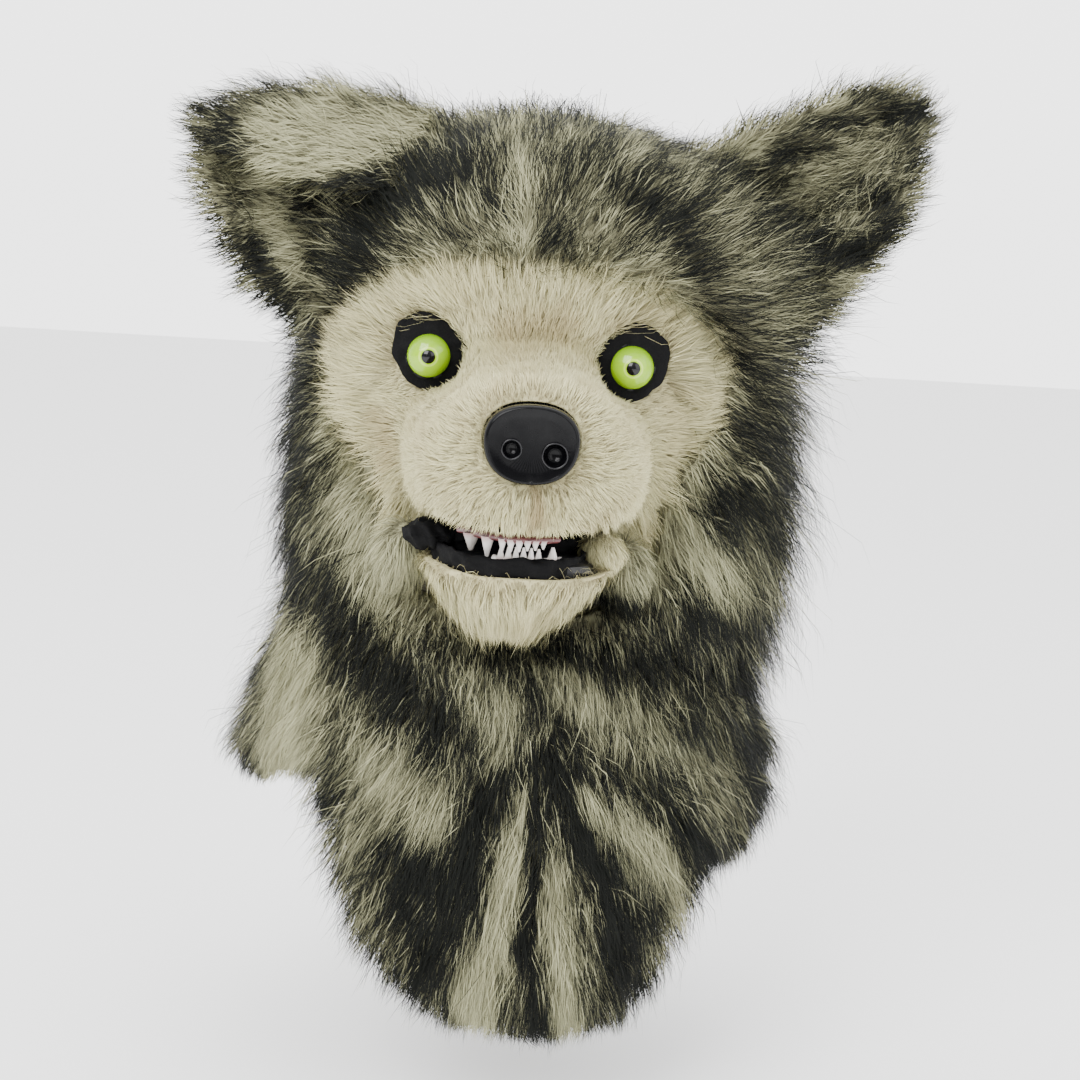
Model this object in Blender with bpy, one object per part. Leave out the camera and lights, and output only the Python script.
"""Wolf head mask: a moulded face and jaw under plush, in a long-haired fur hood with two ears and a cape.

Run with blender --background --python part.py. Metres, +Z up, the face looks along -Y.
The origin is the seat on the crown of the wearer's head, at the inside of the hood's top.
Angles round the hood and cape start at the front and grow towards +X. Angles round the face start at its top.
"""

import math
from collections import namedtuple

import bmesh
import bpy
from mathutils import Vector

# Hood: the knitted backing of the long fur, from the crown to the neck
HOOD_DROP = 0.280
HOOD_WIDTH = 0.232
HOOD_FRONT = 0.102
HOOD_BACK = 0.110
HOOD_ROUNDNESS = 2.3
FABRIC_WALL = 0.0025
HOOD_COLUMNS = 30
HOOD_ROWS = 11

# Long fur on the hood and cape
HOOD_PILE = 0.028
EDGE_PILE = 0.017
CAPE_PILE = 0.022
LOCK_RISE = 0.0050
LOCK_LAP = 0.0075
SIDE_PILE = 0.008

# Clearances between pieces that touch on the real mask
FIT_GAP = 0.0005
SEAM_GAP = 0.0007
SHELL_GAP = 0.0014
TOOTH_GAP = 0.0012
FACE_SEAM = 0.0014

# Face opening of the hood, measured from its centre on the face
FACE_CENTRE_DROP = 0.150
FACE_REACH = 0.102
FACE_FLANGE = 1.08
FACE_SEGMENTS = 26

# Moulded face shell with the upper muzzle
SHELL_WALL = 0.0025
MUZZLE_ROOT = 0.101
MUZZLE_LENGTH = 0.105
MUZZLE_WIDTH = 0.112
MUZZLE_TOP_DROP = 0.112
MUZZLE_FLOOR_GAP = 0.0006
MUZZLE_SQUARENESS = 2.6
BROW_STEP = 0.004
MUZZLE_PLUSH = 0.008
FACE_PLUSH = 0.011

# Mouth and lower jaw
MOUTH_DROP = 0.2166
JAW_WIDTH = 0.098
JAW_HEIGHT = 0.031
JAW_LENGTH = 0.100
JAW_ROOT = 0.095
JAW_SQUARENESS = 3.0
JAW_PLUSH = 0.008
UPPER_LIP_HEIGHT = 0.0121
CHIN_MARGIN = 0.0044
LIP_HEIGHT = 0.0105
LIP_THICKNESS = 0.0025
LIP_RISE = 0.0035
TOOTH_PLATE = 0.0028
JAW_SEGMENTS = 20

# Eyes
EYE_SPACING = 0.115
EYE_DROP = 0.119
EYE_DIAMETER = 0.0245
EYE_BULGE = 0.0105
EYE_SEAT_REACH = 0.1025
EYE_SEAT_DEPTH = 0.022
EYE_SEAT_RIM = 0.0012
PUPIL_DIAMETER = 0.0088
PUPIL_DEPTH = 0.0022
EYE_HOLE = 0.0225
EYE_SEGMENTS = 16

# Nose
NOSE_WIDTH = 0.047
NOSE_HEIGHT = 0.039
NOSE_DEPTH = 0.024
NOSE_DROP = 0.1525
NOSTRIL_SPACING = 0.021
NOSTRIL_DIAMETER = 0.0105
NOSE_SEGMENTS = 20

# Ears
EAR_LENGTH = 0.154
EAR_WIDTH = 0.124
EAR_CUP = 0.034
EAR_SEAT_FORWARD = 0.042
EAR_PILE = 0.0075
EAR_LOCK = 0.0030
EAR_COLUMNS = 10
EAR_ROWS = 9
FOLD_EAR_LENGTH = 0.145
FOLD_EAR_HEIGHT = 0.130
FOLD_EAR_DEPTH = 0.062
FOLD_EAR_SEAT_FORWARD = 0.030

# Cape: from the neck over the shoulders, with a long tongue down the chest
CAPE_DROP = 0.214
CAPE_FLARE = 0.010
BACK_FLARE = 0.030
CHEST_REACH = 0.042
CAPE_COLUMNS = 40
CAPE_ROWS = 7
HEM_OVERHANG = 0.010

# A row for each height of the hood, as shares of its drop, half width, front and back
HoodRow = namedtuple("HoodRow", "drop width front back")
HOOD_TABLE = (
    HoodRow(0.000, 0.00, 0.00, 0.00),
    HoodRow(0.014, 0.30, 0.32, 0.30),
    HoodRow(0.050, 0.55, 0.58, 0.55),
    HoodRow(0.110, 0.76, 0.77, 0.76),
    HoodRow(0.200, 0.90, 0.90, 0.91),
    HoodRow(0.320, 0.97, 0.98, 0.98),
    HoodRow(0.460, 0.99, 1.00, 1.00),
    HoodRow(0.600, 1.00, 0.98, 1.00),
    HoodRow(0.730, 1.00, 0.95, 0.98),
    HoodRow(0.860, 0.98, 0.91, 0.96),
    HoodRow(1.000, 0.94, 0.90, 0.93),
)

# A row for each direction from the face's centre, in degrees from the top, as shares of the face's reach
OutlineRow = namedtuple("OutlineRow", "angle reach")
FACE_OUTLINE = (
    OutlineRow(0, 0.70),
    OutlineRow(30, 0.80),
    OutlineRow(45, 0.91),
    OutlineRow(60, 0.99),
    OutlineRow(75, 0.98),
    OutlineRow(90, 0.89),
    OutlineRow(110, 0.80),
    OutlineRow(128, 0.82),
    OutlineRow(140, 0.98),
    OutlineRow(150, 1.07),
    OutlineRow(160, 1.10),
    OutlineRow(180, 1.07),
)

# A row for each ring between the face's outline (mix 0) and the muzzle's root (mix 1), with the plush as a share of
# FACE_PLUSH
FaceRow = namedtuple("FaceRow", "mix forward plush")
FACE_TABLE = (
    FaceRow(0.00, 0.00, 1.00),
    FaceRow(0.25, 0.25, 0.95),
    FaceRow(0.50, 0.55, 0.85),
    FaceRow(0.76, 0.90, 0.72),
)

# A row for each ring of the upper muzzle, as shares of its length, half width and height
MuzzleRow = namedtuple("MuzzleRow", "reach width top bottom pinch")
MUZZLE_TABLE = (
    MuzzleRow(0.00, 1.00, 0.000, 0.000, 0.30),
    MuzzleRow(0.28, 1.00, 0.080, 0.075, 0.26),
    MuzzleRow(0.56, 0.97, 0.140, 0.110, 0.20),
    MuzzleRow(0.80, 0.86, 0.165, 0.130, 0.14),
    MuzzleRow(0.94, 0.72, 0.175, 0.150, 0.08),
    MuzzleRow(1.00, 0.60, 0.190, 0.190, 0.05),
)

# A row for each ring of the lower jaw, as shares of its length, half width and height
JawRow = namedtuple("JawRow", "reach width top bottom")
JAW_TABLE = (
    JawRow(0.00, 1.00, 0.00, 0.00),
    JawRow(0.30, 1.00, 0.05, 0.00),
    JawRow(0.55, 0.93, 0.03, 0.06),
    JawRow(0.77, 0.78, 0.00, 0.20),
    JawRow(0.91, 0.56, 0.00, 0.38),
    JawRow(1.00, 0.30, 0.04, 0.56),
)

# A row for each upright stretch of the nose: how far it stands out, and its size as shares
NoseRow = namedtuple("NoseRow", "reach size")
NOSE_TABLE = (
    NoseRow(0.00, 0.93),
    NoseRow(0.18, 1.00),
    NoseRow(0.45, 0.98),
    NoseRow(0.70, 0.88),
    NoseRow(0.87, 0.70),
    NoseRow(0.97, 0.42),
)

# A row for each tooth: its place along the mouth from the viewer's left (-1) to the right (1), its width and length
# as shares of TOOTH_WIDTH and TOOTH_LENGTH
TOOTH_WIDTH = 0.0065
TOOTH_LENGTH = 0.0072
GUM_HEIGHT = 0.0022
ToothRow = namedtuple("ToothRow", "place width length")
UPPER_TEETH = (
    ToothRow(-0.86, 1.00, 0.70),
    ToothRow(-0.66, 1.15, 0.85),
    ToothRow(-0.40, 0.95, 1.25),
    ToothRow(-0.16, 0.75, 0.60),
    ToothRow(0.00, 0.75, 0.60),
    ToothRow(0.16, 0.75, 0.60),
    ToothRow(0.40, 0.95, 1.25),
    ToothRow(0.66, 1.15, 0.85),
    ToothRow(0.86, 1.00, 0.70),
)
LOWER_TEETH = (
    ToothRow(-0.84, 0.90, 0.50),
    ToothRow(-0.60, 0.90, 0.60),
    ToothRow(-0.27, 0.90, 0.95),
    ToothRow(-0.08, 0.75, 0.75),
    ToothRow(0.08, 0.75, 0.75),
    ToothRow(0.27, 0.90, 0.95),
    ToothRow(0.60, 0.90, 0.60),
    ToothRow(0.84, 0.90, 0.50),
)

# The outline of a trimmed eye hole, in degrees from its top towards the temple, as shares of EYE_HOLE
EYE_OUTLINE = (
    OutlineRow(0, 1.02),
    OutlineRow(45, 1.02),
    OutlineRow(90, 0.82),
    OutlineRow(135, 0.74),
    OutlineRow(180, 0.84),
    OutlineRow(225, 0.96),
    OutlineRow(270, 0.97),
    OutlineRow(315, 0.90),
    OutlineRow(360, 1.02),
)

# The upright ear: the two edges beside its middle line, as shares of EAR_WIDTH, and how deep it is cupped
EarRow = namedtuple("EarRow", "along upper lower cup")
EAR_TABLE = (
    EarRow(0.00, -0.50, 0.50, 0.95),
    EarRow(0.25, -0.43, 0.49, 1.00),
    EarRow(0.50, -0.36, 0.43, 0.85),
    EarRow(0.72, -0.30, 0.30, 0.55),
    EarRow(0.88, -0.24, 0.12, 0.28),
    EarRow(1.00, -0.11, -0.02, 0.10),
)

# The folded ear: for each row the flap's free edge, the fold, the belly and the lower rim, as shares of
# FOLD_EAR_DEPTH (forward) and FOLD_EAR_HEIGHT (up)
FoldRow = namedtuple("FoldRow", "along flap_out flap_up fold_out fold_up belly_out belly_up rim_out rim_up")
FOLD_TABLE = (
    FoldRow(0.00, 0.62, -0.10, 0.05, 0.12, -0.10, -0.20, 0.10, -0.52),
    FoldRow(0.25, 0.80, -0.17, 0.08, 0.20, -0.18, -0.24, 0.24, -0.66),
    FoldRow(0.52, 0.82, -0.16, 0.12, 0.22, -0.15, -0.26, 0.30, -0.75),
    FoldRow(0.76, 0.76, -0.10, 0.20, 0.19, -0.02, -0.20, 0.34, -0.60),
    FoldRow(0.92, 0.64, -0.03, 0.30, 0.13, 0.12, -0.12, 0.34, -0.34),
    FoldRow(1.00, 0.50, 0.02, 0.38, 0.09, 0.28, -0.02, 0.36, -0.10),
)

# The cape's hem: how far down it reaches in each direction, as a share of CAPE_DROP
HemRow = namedtuple("HemRow", "angle drop")
HEM_TABLE = (
    HemRow(-180, 0.58),
    HemRow(-150, 0.58),
    HemRow(-122, 0.53),
    HemRow(-104, 0.54),
    HemRow(-86, 0.52),
    HemRow(-72, 0.43),
    HemRow(-56, 0.42),
    HemRow(-44, 0.39),
    HemRow(-36, 0.46),
    HemRow(-27, 0.62),
    HemRow(-19, 0.78),
    HemRow(-14, 0.91),
    HemRow(-7, 0.97),
    HemRow(13, 0.98),
    HemRow(22, 0.95),
    HemRow(27, 0.86),
    HemRow(31, 0.71),
    HemRow(40, 0.62),
    HemRow(52, 0.61),
    HemRow(70, 0.58),
    HemRow(86, 0.50),
    HemRow(110, 0.49),
    HemRow(140, 0.54),
    HemRow(180, 0.58),
)

# The cape's folds: direction and half width in degrees, and how far each stands out at the hem
FOLD_HEIGHT = 0.030
CapeFold = namedtuple("CapeFold", "angle spread height")
CAPE_FOLDS = (
    CapeFold(-97, 17, 1.00),
    CapeFold(-68, 8, -0.30),
    CapeFold(-42, 9, 0.16),
    CapeFold(-21, 7, 0.30),
    CapeFold(-7, 6, -0.30),
    CapeFold(7, 6, 0.34),
    CapeFold(19, 5, -0.26),
    CapeFold(33, 8, 0.24),
    CapeFold(58, 11, 0.30),
    CapeFold(90, 26, 0.80),
    CapeFold(135, 13, -0.16),
    CapeFold(158, 12, 0.22),
    CapeFold(-150, 14, 0.24),
)

TINY = 1e-4
Grid = namedtuple("Grid", "points wrap pole")
Finish = namedtuple("Finish", "colour roughness metallic")
FINISHES = {
    "grey_fur": Finish((0.26, 0.25, 0.20), 0.85, 0.0),
    "cream_plush": Finish((0.66, 0.60, 0.42), 0.80, 0.0),
    "backing": Finish((0.30, 0.29, 0.26), 0.90, 0.0),
    "black_shell": Finish((0.012, 0.012, 0.013), 0.38, 0.0),
    "black_gloss": Finish((0.008, 0.008, 0.009), 0.14, 0.0),
    "black_felt": Finish((0.015, 0.015, 0.016), 0.90, 0.0),
    "lime_eye": Finish((0.42, 0.72, 0.02), 0.10, 0.0),
    "tooth": Finish((0.74, 0.68, 0.66), 0.35, 0.0),
}


def material(name):
    """A Principled material with one of the finishes, made once."""
    found = bpy.data.materials.get(name)
    if found:
        return found
    made = bpy.data.materials.new(name)
    made.use_nodes = True
    shader = made.node_tree.nodes["Principled BSDF"]
    finish = FINISHES[name]
    shader.inputs["Base Color"].default_value = (*finish.colour, 1.0)
    shader.inputs["Roughness"].default_value = finish.roughness
    shader.inputs["Metallic"].default_value = finish.metallic
    return made


def read(table, place):
    """The row at this place, read off a smooth curve through the table. The first column is the place."""
    last = len(table) - 2
    k = max(0, min(last, sum(row[0] <= place for row in table) - 1))
    before, start, end, after = table[max(k - 1, 0)], table[k], table[k + 1], table[min(k + 2, last + 1)]
    span = end[0] - start[0]
    t = min(1.0, max(0.0, (place - start[0]) / span))
    values = [place]
    for column in range(1, len(start)):
        slope_in = (end[column] - before[column]) / (end[0] - before[0]) * span
        slope_out = (after[column] - start[column]) / (after[0] - start[0]) * span
        values.append(
            start[column] * (2 * t**3 - 3 * t**2 + 1)
            + slope_in * (t**3 - 2 * t**2 + t)
            + end[column] * (3 * t**2 - 2 * t**3)
            + slope_out * (t**3 - t**2)
        )
    return type(start)(*values)


def smooth_step(value):
    """0 below 0, 1 above 1, and a smooth rise between."""
    value = min(1.0, max(0.0, value))
    return value * value * (3 - 2 * value)


def rounded(value, power):
    """A sine or cosine bent towards the corners of a rounded box: power 2 leaves a circle."""
    return math.copysign(abs(value) ** (2 / power), value)


def scatter(i, j):
    """A fixed number from -1 to 1 for the lock in this column and row, so that no two locks match."""
    return 2 * ((math.sin(i * 12.9898 + j * 78.233) * 43758.5453) % 1.0) - 1


# Meshes from grids of points
def add_object(name, mesh, finish):
    """Links a mesh as an object with one finish."""
    made = bpy.data.objects.new(name, mesh)
    bpy.context.scene.collection.objects.link(made)
    mesh.materials.append(material(finish))
    return made


def grid_faces(bm, rows, wrap, turn=False, peaks=False):
    """Triangles between rows of bmesh vertices. With peaks, each even point stands up as a tip of its own."""
    for j, (upper, lower) in enumerate(zip(rows, rows[1:])):
        count = len(upper)
        for i in range(count if wrap else count - 1):
            k = (i + 1) % count
            halves = ((upper[i], lower[i], lower[k]), (upper[i], lower[k], upper[k]))
            if peaks and (i + j) % 2 == 0:
                halves = ((upper[i], lower[i], upper[k]), (lower[i], lower[k], upper[k]))
            for corners in halves:
                bm.faces.new(corners[::-1] if turn else corners)


def fan(bm, centre, ring, turn=False):
    """Triangles from a pole to the ring round it."""
    for i, vert in enumerate(ring):
        corners = (centre, vert, ring[(i + 1) % len(ring)])
        bm.faces.new(corners[::-1] if turn else corners)


def finish_mesh(bm, name, sharp=None):
    """Turns the faces outwards, cuts them into triangles and smooths all but the sharp edges."""
    bmesh.ops.recalc_face_normals(bm, faces=bm.faces)
    bmesh.ops.triangulate(bm, faces=bm.faces)
    mesh = bpy.data.meshes.new(name)
    bm.to_mesh(mesh)
    bm.free()
    if sharp:
        mesh.shade_smooth()
        mesh.set_sharp_from_angle(angle=math.radians(sharp))
    return mesh


def normals_of(grid):
    """Outward unit normals of a grid whose rows run down and whose columns run towards +X at the front."""
    rows, count = grid.points, len(grid.points[0])
    found = []
    for j, row in enumerate(rows):
        line = []
        for i in range(count):
            left = row[(i - 1) % count] if grid.wrap else row[max(i - 1, 0)]
            right = row[(i + 1) % count] if grid.wrap else row[min(i + 1, count - 1)]
            down = rows[min(j + 1, len(rows) - 1)][i] - rows[max(j - 1, 0)][i]
            line.append(down.cross(right - left).normalized())
        found.append(line)
    return found


def walled_sheet(name, grid, wall, finish):
    """A sheet on the grid, thickened inwards by its wall."""
    bm = bmesh.new()
    rows = [[bm.verts.new(p) for p in row] for row in grid.points]
    grid_faces(bm, rows, grid.wrap)
    if grid.pole:
        fan(bm, bm.verts.new(grid.pole), rows[0] if grid.pole.z > grid.points[0][0].z else rows[-1])
    mesh = finish_mesh(bm, name, sharp=40)
    made = add_object(name, mesh, finish)
    thicken = made.modifiers.new("wall", "SOLIDIFY")
    thicken.thickness = wall
    thicken.offset = -1
    return made


def layered(name, inner, outer, wrap, poles, finish, sharp=None, peaks=False):
    """One closed body between an inner and an outer layer of points. poles is a pair of points at a closed end."""
    bm = bmesh.new()
    below = [[bm.verts.new(p) for p in row] for row in inner]
    above = [[bm.verts.new(p) for p in row] for row in outer]
    grid_faces(bm, below, wrap, turn=True)
    grid_faces(bm, above, wrap, peaks=peaks)
    ends = [0, -1]
    if poles:
        end, low_pole, high_pole = poles
        ends.remove(end)
        fan(bm, bm.verts.new(low_pole), below[end], turn=True)
        fan(bm, bm.verts.new(high_pole), above[end])
    for end in ends:
        grid_faces(bm, [above[end], below[end]], wrap)
    if not wrap:
        for side in (0, -1):
            grid_faces(bm, [[row[side] for row in above], [row[side] for row in below]], False)
    return add_object(name, finish_mesh(bm, name, sharp), finish)


def shift(grid, lengths, normals=None):
    """The grid's points moved along their normals, by a number or by a table of numbers."""
    normals = normals or normals_of(grid)
    return [
        [
            p + n * (lengths if isinstance(lengths, float) else lengths[j][i])
            for i, (p, n) in enumerate(zip(row, line))
        ]
        for j, (row, line) in enumerate(zip(grid.points, normals))
    ]


def locks(grid, pile, rise, lap, calm_rows=1):
    """The outer layer of a fur: tips stand out and lap over the hollows of the next row, like shingles."""
    normals = normals_of(grid)
    last = len(grid.points) - 1
    made = []
    for j, row in enumerate(grid.points):
        calm = smooth_step(min(j, last - j) / calm_rows) if calm_rows else 1.0
        line = []
        for i, point in enumerate(row):
            tip = (i + j) % 2 == 0
            vary = 1 + 0.35 * scatter(i, j)
            height = pile[j][i] + calm * vary * (rise if tip else -0.6 * rise)
            down = (grid.points[min(j + 1, last)][i] - grid.points[max(j - 1, 0)][i]).normalized()
            line.append(point + normals[j][i] * height + down * (lap * vary * calm if tip else 0.0))
        made.append(line)
    return made


def cut(target, cutter, operation="DIFFERENCE"):
    """Cuts or joins with a guide that stays out of the build."""
    step = target.modifiers.new(cutter.name, "BOOLEAN")
    step.operation = operation
    step.object = cutter
    step.solver = "EXACT"
    cutter.hide_render = True
    cutter.display_type = "WIRE"


def block(name, low, high):
    """A box between two corners, used as a cutter."""
    bm = bmesh.new()
    bmesh.ops.create_cube(bm, size=1.0)
    size = Vector(high) - Vector(low)
    for vert in bm.verts:
        vert.co = Vector(low) + Vector(size[k] * (vert.co[k] + 0.5) for k in range(3))
    return add_object(name, finish_mesh(bm, name), "black_shell")


def prism(name, outline, front, back):
    """A bar along Y with the outline's (x, z) points, from front to back."""
    bm = bmesh.new()
    ends = [[bm.verts.new((x, y, z)) for x, z in outline] for y in (front, back)]
    grid_faces(bm, ends, True)
    for ring in ends:
        bm.faces.new(ring)
    return add_object(name, finish_mesh(bm, name), "black_shell")


# Hood surface
def hood_height(share):
    """Height of the hood's outside at this share of its drop."""
    return FABRIC_WALL - HOOD_DROP * share


def hood_point(share, angle, inset=0.0):
    """A point of the hood's outside, or inset from it, in this direction round the head."""
    row = read(HOOD_TABLE, share)
    angle = math.radians(angle)
    side, ahead = rounded(math.sin(angle), HOOD_ROUNDNESS), rounded(math.cos(angle), HOOD_ROUNDNESS)
    depth = HOOD_FRONT * row.front if ahead > 0 else HOOD_BACK * row.back
    return Vector((side * (HOOD_WIDTH / 2 * row.width - inset), -ahead * (depth - inset), hood_height(share)))


def form_depth(x, z, inset=0.0):
    """How far back the front of the head form lies at this place of the face."""
    row = read(HOOD_TABLE, (FABRIC_WALL - z) / HOOD_DROP)
    across = min(0.985, abs(x) / (HOOD_WIDTH / 2 * row.width - inset))
    return -(HOOD_FRONT * row.front - inset) * (1 - across**HOOD_ROUNDNESS) ** (1 / HOOD_ROUNDNESS)


def form_normal(x, z, inset=0.0):
    """The outward direction of the head form there."""
    step = 0.002
    slope_x = (form_depth(x + step, z, inset) - form_depth(x - step, z, inset)) / (2 * step)
    slope_z = (form_depth(x, z + step, inset) - form_depth(x, z - step, inset)) / (2 * step)
    return Vector((slope_x, -1.0, slope_z)).normalized()


def even_rows(count, first=0.014):
    """Shares of the hood's drop, closer together where the crown curves over."""
    return [first + (1 - first) * (k / (count - 1)) ** 1.35 for k in range(count)]


def hood_grid():
    """The hood's outside as a grid, with its pole on the crown."""
    points = [
        [hood_point(share, 360 * i / HOOD_COLUMNS) for i in range(HOOD_COLUMNS)]
        for share in even_rows(HOOD_ROWS)
    ]
    return Grid(points, True, Vector((0, 0, FABRIC_WALL)))


# Face
def face_outline(scale=1.0):
    """(x, z) points of the face opening, clockwise from its top as seen. Its foot is under the jaw."""
    foot = (MOUTH_DROP + JAW_HEIGHT + CHIN_MARGIN - FACE_CENTRE_DROP) / FACE_REACH
    points = []
    for i in range(FACE_SEGMENTS):
        angle = 360 * i / FACE_SEGMENTS
        reach = FACE_REACH * read(FACE_OUTLINE, min(angle, 360 - angle)).reach * scale
        turned = math.radians(angle)
        rise = reach * math.cos(turned)
        points.append((reach * math.sin(turned), -FACE_CENTRE_DROP + rise * (1 if rise > 0 else foot)))
    return points


def muzzle_height():
    """The muzzle reaches down to the mouth."""
    return MOUTH_DROP - MUZZLE_FLOOR_GAP - MUZZLE_TOP_DROP


def shell_inset():
    """How far the face shell's outside lies inside the hood's outside."""
    return FABRIC_WALL + SHELL_GAP


def muzzle_ring(row, segments, lift=0.0):
    """A ring of the upper muzzle: narrow at its bridge and full at the cheeks."""
    half_width = MUZZLE_WIDTH / 2 * row.width + lift
    top = -MUZZLE_TOP_DROP - muzzle_height() * row.top + lift
    bottom = -MUZZLE_TOP_DROP - muzzle_height() * (1 - row.bottom) - lift
    y = -MUZZLE_ROOT - MUZZLE_LENGTH * row.reach
    ring = []
    for i in range(segments):
        angle = 2 * math.pi * i / segments
        narrow = 1 - row.pinch * max(0.0, math.cos(angle))
        x = half_width * rounded(math.sin(angle), MUZZLE_SQUARENESS) * narrow
        z = (top + bottom) / 2 + (top - bottom) / 2 * rounded(math.cos(angle), MUZZLE_SQUARENESS)
        ring.append(Vector((x, y, z)))
    return ring


def face_ring(row, root):
    """A ring on the head form, part way from the face's outline to the muzzle's root."""
    ring = []
    for (x, z), at_root in zip(face_outline(), root):
        x += (at_root.x - x) * row.mix
        z += (at_root.z - z) * row.mix
        ring.append(Vector((x, form_depth(x, z, shell_inset()) - BROW_STEP * row.forward, z)))
    return ring


def face_rings():
    """The face shell's outside, from the outline at the hood's opening to the front of the muzzle."""
    muzzle = [muzzle_ring(row, FACE_SEGMENTS) for row in MUZZLE_TABLE]
    return [face_ring(row, muzzle[0]) for row in FACE_TABLE] + muzzle


def flange_ring():
    """The shell's rim, hidden under the hood round the face."""
    return [Vector((x, form_depth(x, z, shell_inset()), z)) for x, z in face_outline(FACE_FLANGE)]


def nose_outline(grow=0.0, segments=NOSE_SEGMENTS):
    """(x, z) points of the nose, a little wider at the top than at the bottom."""
    points = []
    for i in range(segments):
        angle = 2 * math.pi * i / segments
        widen = 1 + 0.07 * math.cos(angle)
        x = (NOSE_WIDTH / 2 + grow) * rounded(math.sin(angle), 2.2) * widen
        points.append((x, -NOSE_DROP + (NOSE_HEIGHT / 2 + grow) * rounded(math.cos(angle), 2.2)))
    return points


def nose_back():
    """Depth of the flat front of the muzzle that the nose sits on."""
    return -MUZZLE_ROOT - MUZZLE_LENGTH


def make_face_shell():
    """The black moulded shell: brow, cheeks and upper muzzle, open at the back and under the mouth."""
    rings = [flange_ring(), *face_rings()]
    centre = sum(rings[-1], Vector()) / FACE_SEGMENTS
    shell = walled_sheet("face_shell", Grid(rings, True, None), SHELL_WALL, "black_shell")
    bm = bmesh.new()
    bm.from_mesh(shell.data)
    bm.verts.ensure_lookup_table()
    front = [bm.verts[(len(rings) - 1) * FACE_SEGMENTS + i] for i in range(FACE_SEGMENTS)]
    fan(bm, bm.verts.new(centre), front)
    bmesh.ops.recalc_face_normals(bm, faces=bm.faces)
    bm.to_mesh(shell.data)
    bm.free()
    width, reach = HOOD_WIDTH, MUZZLE_ROOT + MUZZLE_LENGTH
    low = (-width, -2 * reach, -2 * MOUTH_DROP)
    cut(shell, block("mouth_cut", low, (width, HOOD_BACK, -MOUTH_DROP)))
    for side in (-1, 1):
        cut(shell, make_eye_seat(side), "UNION")
    return shell


def make_eye_seat(side):
    """A short round post on the shell that carries one eye and faces straight ahead."""
    radius = EYE_DIAMETER / 2 + EYE_SEAT_RIM
    ring = [
        (side * EYE_SPACING / 2 + radius * math.sin(turn), -EYE_DROP + radius * math.cos(turn))
        for turn in (2 * math.pi * i / EYE_SEGMENTS for i in range(EYE_SEGMENTS))
    ]
    name = "right_eye_seat" if side > 0 else "left_eye_seat"
    return prism(name, ring, -EYE_SEAT_REACH, -EYE_SEAT_REACH + EYE_SEAT_DEPTH)


def make_face_plush():
    """The short cream plush over the face shell, with holes for the eyes and nose and an open mouth."""
    rings = face_rings()
    nose = [
        Vector((x, nose_back() - TINY, z))
        for x, z in nose_outline(SEAM_GAP, FACE_SEGMENTS)
    ]
    grid = Grid([*rings, nose], True, None)
    normals = normals_of(grid)
    normals[0] = [form_normal(p.x, p.z, shell_inset()) for p in rings[0]]
    normals[-1] = [Vector((0, -1, 0))] * FACE_SEGMENTS
    depths = [FACE_PLUSH * row.plush for row in FACE_TABLE] + [MUZZLE_PLUSH] * (len(MUZZLE_TABLE) + 1)
    outer = []
    for j, depth in enumerate(depths):
        edge = j in (0, len(depths) - 1)
        line = []
        for i, (p, n) in enumerate(zip(grid.points[j], normals[j])):
            ripple = 0.0 if edge else 0.10 * depth * (1 if (i + j) % 2 else -1) * (1 + 0.4 * scatter(i, j))
            line.append(p + n * (FIT_GAP + depth + ripple))
        outer.append(line)
    inner = shift(grid, FIT_GAP, normals)
    plush = layered("face_plush", inner, outer, True, None, "cream_plush")
    reach = MUZZLE_ROOT + MUZZLE_LENGTH
    below = (-HOOD_WIDTH, -2 * reach, -2 * MOUTH_DROP)
    cut(plush, block("plush_mouth_cut", below, (HOOD_WIDTH, HOOD_BACK, -MOUTH_DROP + SEAM_GAP)))
    lip_width = JAW_WIDTH / 2 + JAW_PLUSH
    below = (-lip_width, -2 * reach, -2 * MOUTH_DROP)
    cut(plush, block("upper_lip_cut", below, (lip_width, -MUZZLE_ROOT, UPPER_LIP_HEIGHT - MOUTH_DROP)))
    cut(plush, make_mouth_cutter())
    for side in (-1, 1):
        cut(plush, make_eye_cutter(side))
    return plush


def make_mouth_cutter():
    """The open space under the muzzle's floor, which the plush leaves free behind the upper lip."""
    bm = bmesh.new()
    rings = []
    for z in (-MUZZLE_TOP_DROP - muzzle_height() / 2, -2 * MOUTH_DROP):
        half = [
            (MUZZLE_WIDTH / 2 * row.width + TINY, -MUZZLE_ROOT - MUZZLE_LENGTH * row.reach)
            for row in MUZZLE_TABLE
        ]
        plan = [(-x, y) for x, y in half] + [(x, y) for x, y in reversed(half)]
        rings.append([bm.verts.new((x, y, z)) for x, y in plan])
    grid_faces(bm, rings, True)
    for ring in rings:
        bm.faces.new(ring)
    return add_object("mouth_cavity", finish_mesh(bm, "mouth_cavity"), "black_shell")


def make_eye_cutter(side):
    """The trimmed hole in the plush round one eye, wider towards the temple's top and the nose."""
    outline = []
    for i in range(EYE_SEGMENTS):
        angle = 360 * i / EYE_SEGMENTS
        reach = EYE_HOLE * read(EYE_OUTLINE, angle).reach
        turned = math.radians(angle)
        x = side * (EYE_SPACING / 2 + reach * math.sin(turned))
        outline.append((x, -EYE_DROP + reach * math.cos(turned)))
    name = "right_eye_cutter" if side > 0 else "left_eye_cutter"
    return prism(name, outline, -MUZZLE_ROOT - MUZZLE_LENGTH, -EYE_SEAT_REACH / 2)


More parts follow.
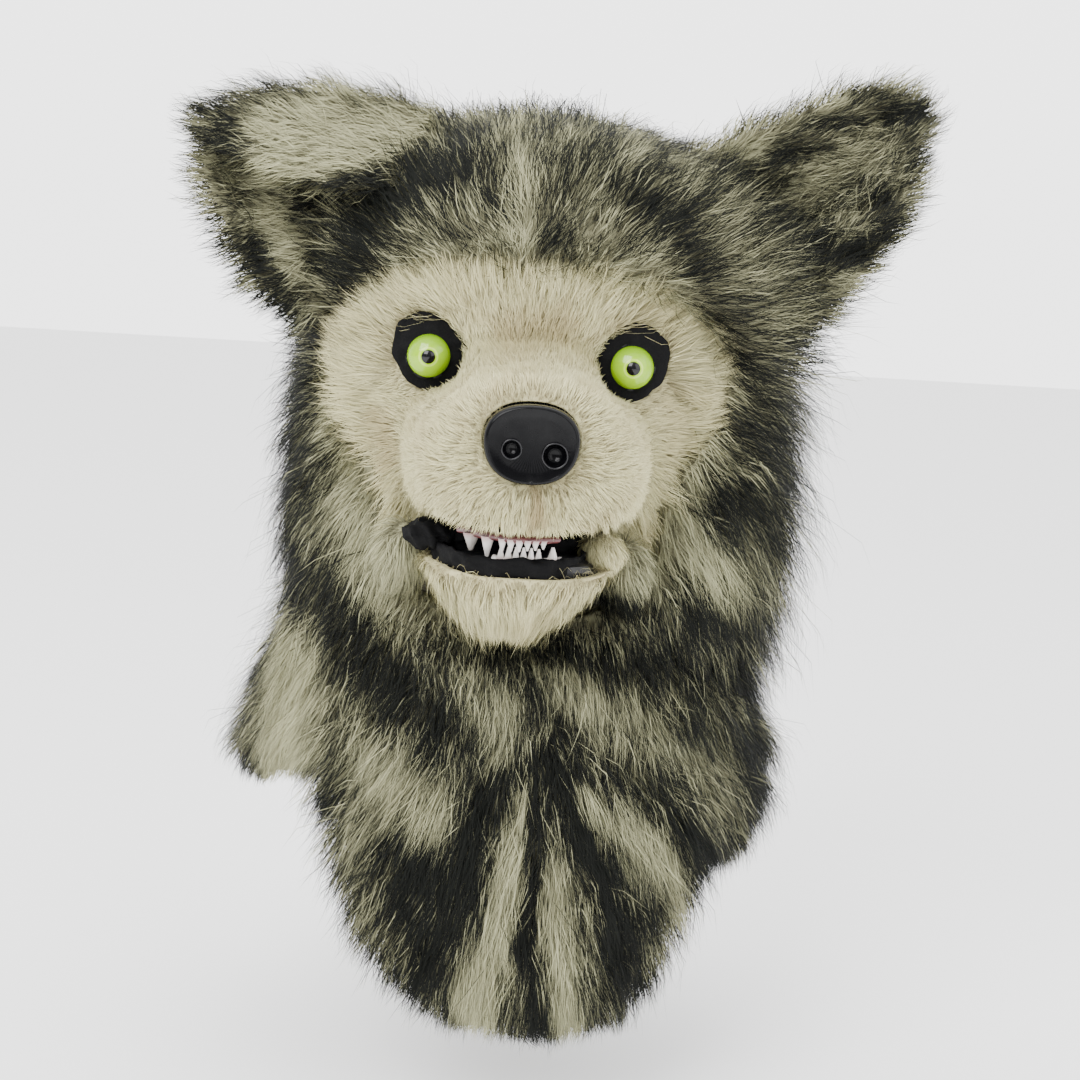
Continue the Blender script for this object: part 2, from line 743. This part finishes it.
def make_eyes():
    """Two glossy domes with a black pupil let into the front of each."""
    for side, word in ((-1, "left"), (1, "right")):
        centre = Vector((side * EYE_SPACING / 2, -EYE_SEAT_REACH - FIT_GAP, -EYE_DROP))
        radius, hole = EYE_DIAMETER / 2, PUPIL_DIAMETER / 2
        turns = [math.radians(degrees) for degrees in (0, 22, 44, 60)]
        dome = [(radius * math.cos(turn), EYE_BULGE * math.sin(turn)) for turn in turns]
        rim = EYE_BULGE * math.sqrt(1 - (hole / radius) ** 2)
        floor = rim - PUPIL_DEPTH
        profile = [*dome, (hole, rim), (hole, floor)]
        turned(f"{word}_eye", centre, profile, "lime_eye", closed_front=floor)
        small = hole - SEAM_GAP / 2
        button = [(small, floor + FIT_GAP), (small, rim), (small * 0.6, EYE_BULGE * 0.97)]
        turned(f"{word}_pupil", centre, button, "black_gloss", closed_front=EYE_BULGE)


def turned(name, centre, profile, finish, closed_front):
    """A body turned about the Y axis through centre, from (radius, stand-out) points, its back rim first."""
    bm = bmesh.new()
    rings = []
    for radius, out in profile:
        ring = []
        for i in range(EYE_SEGMENTS):
            turn = 2 * math.pi * i / EYE_SEGMENTS
            point = Vector((radius * math.sin(turn), -out, radius * math.cos(turn)))
            ring.append(bm.verts.new(centre + point))
        rings.append(ring)
    grid_faces(bm, rings, True)
    fan(bm, bm.verts.new(centre + Vector((0, -closed_front, 0))), rings[-1])
    bm.faces.new(rings[0])
    return add_object(name, finish_mesh(bm, name, sharp=35), finish)


def make_nose():
    """The black gloss nose: a rounded cap with two nostrils."""
    bm = bmesh.new()
    outline = nose_outline()
    rings = []
    for row in NOSE_TABLE:
        y = nose_back() - FIT_GAP - NOSE_DEPTH * row.reach
        shrunk = [(x * row.size, y, -NOSE_DROP + (z + NOSE_DROP) * row.size) for x, z in outline]
        rings.append([bm.verts.new(point) for point in shrunk])
    grid_faces(bm, rings, True)
    fan(bm, bm.verts.new((0, nose_back() - FIT_GAP - NOSE_DEPTH, -NOSE_DROP)), rings[-1])
    bm.faces.new(rings[0])
    nose = add_object("nose", finish_mesh(bm, "nose", sharp=40), "black_gloss")
    for side, word in ((-1, "left"), (1, "right")):
        ball = bmesh.new()
        bmesh.ops.create_icosphere(ball, subdivisions=2, radius=NOSTRIL_DIAMETER / 2)
        depth = nose_back() - NOSE_DEPTH * 0.93
        middle = Vector((side * NOSTRIL_SPACING / 2, depth, -NOSE_DROP - NOSE_HEIGHT * 0.06))
        bmesh.ops.translate(ball, vec=middle, verts=ball.verts)
        name = f"{word}_nostril"
        cut(nose, add_object(name, finish_mesh(ball, name), "black_gloss"))
    return nose


# Jaw, lip and teeth
def jaw_top():
    """Height of the jaw's upper rim."""
    return -MOUTH_DROP - SEAM_GAP


def jaw_ring(row):
    """A ring of the lower jaw. The first one follows the head form, where the jaw meets the throat."""
    half_width = JAW_WIDTH / 2 * row.width
    top = jaw_top() - JAW_HEIGHT * row.top
    bottom = jaw_top() - JAW_HEIGHT * (1 - row.bottom)
    ring = []
    for i in range(JAW_SEGMENTS):
        angle = 2 * math.pi * (i + 0.5) / JAW_SEGMENTS
        x = half_width * rounded(math.sin(angle), JAW_SQUARENESS)
        z = (top + bottom) / 2 + (top - bottom) / 2 * rounded(math.cos(angle), JAW_SQUARENESS)
        y = form_depth(x, z, shell_inset()) if row.reach == 0 else -JAW_ROOT - JAW_LENGTH * row.reach
        ring.append(Vector((x, y, z)))
    return ring


def jaw_rings():
    """The jaw's outside, from the throat to its front."""
    return [jaw_ring(row) for row in JAW_TABLE]


def make_jaw_shell():
    """The black moulded jaw, a trough that is open behind for the wearer's chin."""
    rings = jaw_rings()
    bm = bmesh.new()
    rows = [[bm.verts.new(p) for p in ring] for ring in rings]
    grid_faces(bm, rows, True)
    fan(bm, bm.verts.new(jaw_front_point()), rows[-1])
    shell = add_object("jaw_shell", finish_mesh(bm, "jaw_shell", sharp=40), "black_shell")
    thicken = shell.modifiers.new("wall", "SOLIDIFY")
    thicken.thickness = SHELL_WALL
    thicken.offset = -1
    return shell


def jaw_front_point():
    """The jaw's foremost point."""
    ring = jaw_rings()[-1]
    return sum(ring, Vector()) / JAW_SEGMENTS


def make_jaw_plush():
    """The cream plush under and round the jaw, below the black lip."""
    rings = jaw_rings()
    grid = Grid(rings, True, None)
    normals = normals_of(grid)
    normals[0] = [Vector((n.x, 0, n.z)).normalized() for n in normals[1]]
    inner = shift(grid, FIT_GAP, normals)
    outer = []
    for j, ring in enumerate(rings):
        line = []
        for i, point in enumerate(ring):
            ripple = 0.0 if j == 0 else 0.12 * JAW_PLUSH * (1 if (i + j) % 2 else -1)
            line.append(point + normals[j][i] * (FIT_GAP + JAW_PLUSH + ripple))
        outer.append(line)
    tip = jaw_front_point()
    poles = (-1, tip + Vector((0, -FIT_GAP, 0)), tip + Vector((0, -FIT_GAP - JAW_PLUSH, 0)))
    plush = layered("jaw_plush", inner, outer, True, poles, "cream_plush")
    reach = JAW_ROOT + 2 * JAW_LENGTH
    top = -MOUTH_DROP + LIP_RISE - LIP_HEIGHT - SEAM_GAP
    cut(plush, block("lip_cut", (-HOOD_WIDTH, -reach, top), (HOOD_WIDTH, HOOD_BACK, 0)))
    return plush


def mouth_path(offset, span, rows, table_width, root, length):
    """Plan points round a jaw, (x, y) from the viewer's left to the right, offset from the wall."""
    half = [(table_width / 2 * row.width, -root - length * row.reach) for row in rows]
    half = [(x + offset, y - (offset if row.reach > 0.9 else 0.0)) for (x, y), row in zip(half, rows)]
    half = half[span:]
    return [(-x, y) for x, y in half] + [(x, y) for x, y in reversed(half)]


def make_lower_lip():
    """The rough black lip round the front of the jaw."""
    inner = mouth_path(FIT_GAP, 1, JAW_TABLE, JAW_WIDTH, JAW_ROOT, JAW_LENGTH)
    outer = mouth_path(FIT_GAP + LIP_THICKNESS, 1, JAW_TABLE, JAW_WIDTH, JAW_ROOT, JAW_LENGTH)
    top = -MOUTH_DROP + LIP_RISE
    heights = (top, top - LIP_HEIGHT / 2, top - LIP_HEIGHT)
    low = [[Vector((x, y, z)) for x, y in inner] for z in heights]
    high = [[Vector((x, y, z)) for x, y in outer] for z in heights]
    return layered("lower_lip", low, high, False, None, "black_felt", sharp=40)


def tooth_row(name, teeth, half_width, front, back, gum_at, pointing):
    """A strip of gum bent round the mouth, with a pointed tooth for each row of the table."""
    bm = bmesh.new()
    stations = []
    for tooth in teeth:
        half = TOOTH_WIDTH * tooth.width / 2 / half_width
        stations += [(tooth.place - half, 0.0), (tooth.place, tooth.length), (tooth.place + half, 0.0)]
    rings = []
    for place, length in stations:
        x = half_width * place
        y = front + (back - front) * abs(place) ** 2.2
        gum = gum_at(x, y)
        tip = gum + pointing * (GUM_HEIGHT + TOOTH_LENGTH * length)
        away = Vector((2.2 * (back - front) * abs(place) ** 1.2 * math.copysign(1, place), half_width, 0))
        inwards = Vector((-away.x, away.y, 0)).normalized() * TOOTH_PLATE
        root, point = Vector((x, y, gum)), Vector((x, y, tip))
        slim = inwards * (0.35 if length else 1.0)
        outline = (root, point + (inwards - slim) / 2, point + (inwards + slim) / 2, root + inwards)
        rings.append([bm.verts.new(p) for p in outline])
    for first, second in zip(rings, rings[1:]):
        for k in range(4):
            bm.faces.new((first[k], first[(k + 1) % 4], second[(k + 1) % 4], second[k]))
    bm.faces.new(rings[0])
    bm.faces.new(rings[-1])
    return add_object(name, finish_mesh(bm, name), "tooth")


def section_edge(rows, x, y, root, length, width, squareness, edge):
    """Height of a muzzle's floor or a jaw's top at this place, from the rings on either side of it."""
    reach = (-y - root) / length
    row = read(rows, reach)
    across = min(0.98, abs(x) / (width / 2 * row.width))
    return edge(row, (1 - across**squareness) ** (1 / squareness))


def palate_height(x, y):
    """Height just under the muzzle's floor."""

    def edge(row, share):
        top = -MUZZLE_TOP_DROP - muzzle_height() * row.top
        bottom = -MUZZLE_TOP_DROP - muzzle_height() * (1 - row.bottom)
        return (top + bottom) / 2 - (top - bottom) / 2 * share

    rows = MUZZLE_TABLE
    sizes = (MUZZLE_ROOT, MUZZLE_LENGTH, MUZZLE_WIDTH, MUZZLE_SQUARENESS)
    return section_edge(rows, x, y, *sizes, edge) - TOOTH_GAP


def jaw_floor_height(x, y):
    """Height just over the jaw's top."""

    def edge(row, share):
        top = jaw_top() - JAW_HEIGHT * row.top
        bottom = jaw_top() - JAW_HEIGHT * (1 - row.bottom)
        return (top + bottom) / 2 + (top - bottom) / 2 * share

    sizes = (JAW_ROOT, JAW_LENGTH, JAW_WIDTH, JAW_SQUARENESS)
    return section_edge(JAW_TABLE, x, y, *sizes, edge) + FIT_GAP


def make_teeth():
    """The two rows of small white teeth, each fused to its strip of gum."""
    front = -MUZZLE_ROOT - MUZZLE_LENGTH * 0.93
    back = -MUZZLE_ROOT - MUZZLE_LENGTH * 0.45
    tooth_row("upper_teeth", UPPER_TEETH, MUZZLE_WIDTH * 0.33, front, back, palate_height, -1)
    front = -JAW_ROOT - JAW_LENGTH * 0.93
    back = -JAW_ROOT - JAW_LENGTH * 0.52
    tooth_row("lower_teeth", LOWER_TEETH, JAW_WIDTH * 0.33, front, back, jaw_floor_height, 1)


# Hood, ears and cape
def make_face_cutter():
    """The hood's opening: a plug whose walls run square to the head form all round the face."""
    grown = 1 + FACE_SEAM / FACE_REACH
    inside, outside = -4 * FABRIC_WALL, 2 * HOOD_PILE
    bm = bmesh.new()
    rings = []
    for share, reach in (
        (0.3, inside), (0.7, inside), (1.0, inside), (1.0, 0.0), (1.0, FACE_PLUSH),
        (1.0, outside), (0.7, outside), (0.3, outside)
    ):
        ring = []
        for x, z in face_outline(grown * share):
            start = Vector((x, form_depth(x, z, shell_inset()), z))
            ring.append(bm.verts.new(start + form_normal(x, z, shell_inset()) * reach))
        rings.append(ring)
    grid_faces(bm, rings, True)
    bm.faces.new(rings[0])
    bm.faces.new(rings[-1])
    return add_object("face_opening", finish_mesh(bm, "face_opening"), "black_shell")


def hood_pile(grid):
    """Fur depth over the hood: shallower round the face, where it meets the plush."""
    outline = [math.hypot(x, z + FACE_CENTRE_DROP) for x, z in face_outline()]
    table = []
    for row in grid.points:
        line = []
        for point in row:
            turn = math.atan2(point.x, point.z + FACE_CENTRE_DROP) % (2 * math.pi)
            edge = outline[round(turn / (2 * math.pi) * FACE_SEGMENTS) % FACE_SEGMENTS]
            away = math.hypot(point.x, point.z + FACE_CENTRE_DROP) / edge - 1 if point.y < 0 else 1.0
            side = SIDE_PILE * point.x / (HOOD_WIDTH / 2)
            line.append(EDGE_PILE + (HOOD_PILE - EDGE_PILE) * smooth_step(away / 0.35) + side)
        table.append(line)
    return table


def make_hood(opening):
    """The hood's backing and the long fur on it."""
    grid = hood_grid()
    hood = walled_sheet("hood", grid, FABRIC_WALL, "backing")
    cut(hood, opening)
    pile = hood_pile(grid)
    crown = grid.pole
    poles = (0, crown + Vector((0, 0, FIT_GAP * 2)), crown + Vector((0, 0, HOOD_PILE * 0.6)))
    pile[0] = [HOOD_PILE * 0.62] * HOOD_COLUMNS
    pile[1] = [HOOD_PILE * 0.75] * HOOD_COLUMNS
    outer = locks(grid, pile, LOCK_RISE, LOCK_LAP, calm_rows=2)
    outer[-1] = [Vector((p.x, p.y, hood_height(1.0))) for p in outer[-1]]
    inner = shift(grid, FIT_GAP * 2)
    inner[-1] = [Vector((p.x, p.y, hood_height(1.0))) for p in inner[-1]]
    fur = layered("hood_fur", inner, outer, True, poles, "grey_fur", peaks=True)
    cut(fur, opening)
    return outer, poles[2]


def envelope(outer, crown):
    """The hood fur's outside as one closed body, grown by the fit gap, which the ears are cut back to."""
    bm = bmesh.new()
    grid = Grid(outer, True, None)
    rows = [[bm.verts.new(p) for p in row] for row in shift(grid, FIT_GAP)]
    grid_faces(bm, rows, True, peaks=True)
    fan(bm, bm.verts.new(crown + Vector((0, 0, FIT_GAP))), rows[0])
    fan(bm, bm.verts.new((0, 0, hood_height(1.0))), rows[-1])
    return add_object("fur_envelope", finish_mesh(bm, "fur_envelope"), "grey_fur")


def fur_flap(name, grid, pile, rise):
    """An ear: fur on both faces of a cupped flap, in locks that thin out towards its rim."""
    normals = normals_of(grid)
    rows, columns = len(grid.points), len(grid.points[0])
    faces = []
    for facing in (-1, 1):
        face = []
        for j in range(rows):
            line = []
            for i in range(columns):
                across = 2 * i / (columns - 1) - 1
                rim = 1 - 0.55 * max(abs(across) ** 3, (j / (rows - 1)) ** 4)
                wave = rise * rim * (1 if (i + j) % 2 else -1) * (1 + 0.4 * scatter(i + facing, j))
                line.append(grid.points[j][i] + normals[j][i] * facing * (pile * rim + wave))
            face.append(line)
        faces.append(face)
    for j in range(1, rows):
        for side in (0, columns - 1):
            away = (grid.points[j][side] - grid.points[j][columns // 2]).normalized()
            push = away * rise * (1 + scatter(j, side))
            for face in faces:
                face[j][side] += push
    return layered(name, faces[0], faces[1], False, None, "grey_fur", peaks=True)


OutlineKnot = namedtuple("OutlineKnot", "place ahead up")


def make_right_ear(cutter):
    """The upright ear on the viewer's right: a cupped triangle that leans out and forward."""
    root = Vector((HOOD_WIDTH * 0.448, -EAR_SEAT_FORWARD, -HOOD_DROP * 0.21))
    out = Vector((0.80, 0.05, 0.60)).normalized()
    across = Vector((0.60, 0.0, -0.80)).normalized()
    back = Vector((0.10, 0.99, 0.05)).normalized()
    points = []
    for j in range(EAR_ROWS):
        row = read(EAR_TABLE, j / (EAR_ROWS - 1))
        line = []
        for i in range(EAR_COLUMNS):
            share = i / (EAR_COLUMNS - 1)
            place = row.upper + (row.lower - row.upper) * share
            bowl = math.sin(math.pi * share) * row.cup * EAR_CUP
            line.append(root + out * EAR_LENGTH * row.along + across * EAR_WIDTH * place + back * bowl)
        points.append(line)
    ear = fur_flap("right_ear", Grid(points, False, None), EAR_PILE, EAR_LOCK)
    cut(ear, cutter)


def make_left_ear(cutter):
    """The ear on the viewer's left: its upper half is folded forward over the cup like an awning."""
    root = Vector((-HOOD_WIDTH * 0.215, -FOLD_EAR_SEAT_FORWARD, -HOOD_DROP * 0.03))
    out = Vector((-1.0, -0.02, 0.02)).normalized()
    points = []
    for j in range(EAR_ROWS):
        row = read(FOLD_TABLE, j / (EAR_ROWS - 1))
        puff = 0.06
        stops = (
            OutlineKnot(0.00, row.flap_out, row.flap_up),
            OutlineKnot(0.22, puff + (row.flap_out + row.fold_out) / 2, puff + (row.flap_up + row.fold_up) / 2),
            OutlineKnot(0.42, row.fold_out, row.fold_up),
            OutlineKnot(0.72, row.belly_out, row.belly_up),
            OutlineKnot(1.00, row.rim_out, row.rim_up),
        )
        line = []
        for i in range(EAR_COLUMNS):
            knot = read(stops, i / (EAR_COLUMNS - 1))
            line.append(
                root
                + out * FOLD_EAR_LENGTH * row.along
                + Vector((0, -FOLD_EAR_DEPTH * knot.ahead, FOLD_EAR_HEIGHT * knot.up))
            )
        points.append(line)
    ear = fur_flap("left_ear", Grid(points, False, None), EAR_PILE, EAR_LOCK)
    cut(ear, cutter)


def cape_angles(count):
    """Directions round the cape, closer together at the front where the folds are narrow."""
    angles = []
    for i in range(count):
        turn = 2 * math.pi * i / count
        angles.append(math.degrees(turn - 0.42 * math.sin(turn)))
    return angles


def cape_point(angle, share):
    """A point of the cape's outside: share 0 at the neck, below the hood's last row, and 1 at the hem."""
    signed = (angle + 180) % 360 - 180
    neck = hood_point(1.0, angle)
    drop = CAPE_DROP * read(HEM_TABLE, signed).drop * share
    fallen = drop / CAPE_DROP
    away = Vector((neck.x, neck.y, 0)).normalized()
    ahead = max(0.0, -away.y)
    flare = (CAPE_FLARE + BACK_FLARE * max(0.0, away.y)) * smooth_step(fallen / 0.55)
    chest = CHEST_REACH * ahead**2 * math.sin(min(1.0, fallen / 0.8) * math.pi / 2)
    folds = sum(
        FOLD_HEIGHT * fold.height * math.exp(-(((signed - fold.angle) / fold.spread) ** 2))
        for fold in CAPE_FOLDS
    )
    outwards = flare + chest + folds * smooth_step(share * 0.9)
    return neck + away * outwards + Vector((0, 0, -SEAM_GAP - drop))


def cape_grid():
    """The cape's outside as a grid from the neck to the hem."""
    angles = cape_angles(CAPE_COLUMNS)
    shares = [k / (CAPE_ROWS - 1) for k in range(CAPE_ROWS)]
    return Grid([[cape_point(angle, share) for angle in angles] for share in shares], True, None)


def make_cape():
    """The cape's backing and the long fur on it, whose last locks hang past the hem."""
    grid = cape_grid()
    walled_sheet("cape", grid, FABRIC_WALL, "backing")
    hem, above = grid.points[-1], grid.points[-2]
    hang = [HEM_OVERHANG * ((1.0 if i % 2 else 0.35) + 0.3 * scatter(i, 3)) for i in range(CAPE_COLUMNS)]
    ends = [p + (p - q).normalized() * reach for p, q, reach in zip(hem, above, hang)]
    grid.points.append(ends)
    pile = [[CAPE_PILE * (1 - 0.35 * (j / CAPE_ROWS) ** 2)] * CAPE_COLUMNS for j in range(CAPE_ROWS + 1)]
    outer = locks(grid, pile, LOCK_RISE, LOCK_LAP, calm_rows=2)
    inner = shift(grid, FIT_GAP * 2)
    top = grid.points[0][0].z
    for layer in (outer, inner):
        layer[0] = [Vector((p.x, p.y, top)) for p in layer[0]]
    layered("cape_fur", inner, outer, True, None, "grey_fur", peaks=True)


def main():
    """Clears the scene and builds the mask."""
    for old in list(bpy.data.objects):
        bpy.data.objects.remove(old)
    opening = make_face_cutter()
    outer, crown = make_hood(opening)
    cutter = envelope(outer, crown)
    make_right_ear(cutter)
    make_left_ear(cutter)
    make_face_shell()
    make_face_plush()
    make_eyes()
    make_nose()
    make_jaw_shell()
    make_jaw_plush()
    make_lower_lip()
    make_teeth()
    make_cape()


main()
